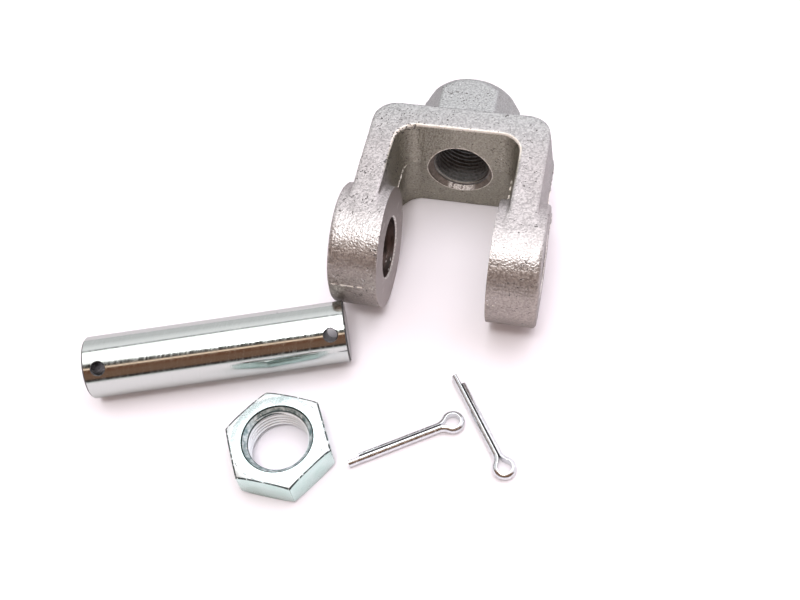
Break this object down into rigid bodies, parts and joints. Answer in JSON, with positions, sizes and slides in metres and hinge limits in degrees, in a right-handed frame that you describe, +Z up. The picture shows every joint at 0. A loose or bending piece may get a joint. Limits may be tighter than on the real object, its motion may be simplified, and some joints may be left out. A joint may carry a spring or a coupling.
{
  "type": "clevis rod end",
  "caption": "Forked rod end with a cross-bored yoke and a threaded hexagonal boss, shown taken apart beside its clevis pin, jam nut and cotter pins.",
  "frame": {"origin": "middle of the pin bore, halfway between the two ears", "axes": "+X along the pin bore, +Y from the bore towards the threaded boss, +Z up from the surface the set lies on"},
  "size_m": [0.1352, 0.1412, 0.0382],
  "materials": {
    "cast_yoke": "rough cast and blasted, bare silver grey",
    "polished_pin": "polished, bright zinc",
    "nut_zinc": "turned, bright zinc with a cool tint",
    "cotter_steel": "drawn wire, bright"
  },
  "bodies": {
    "root": {"yoke": "cast_yoke", "clevis_pin": "polished_pin", "jam_nut": "nut_zinc", "cotter_pin_left": "cotter_steel", "cotter_pin_right": "cotter_steel"}
  },
  "joints": []
}
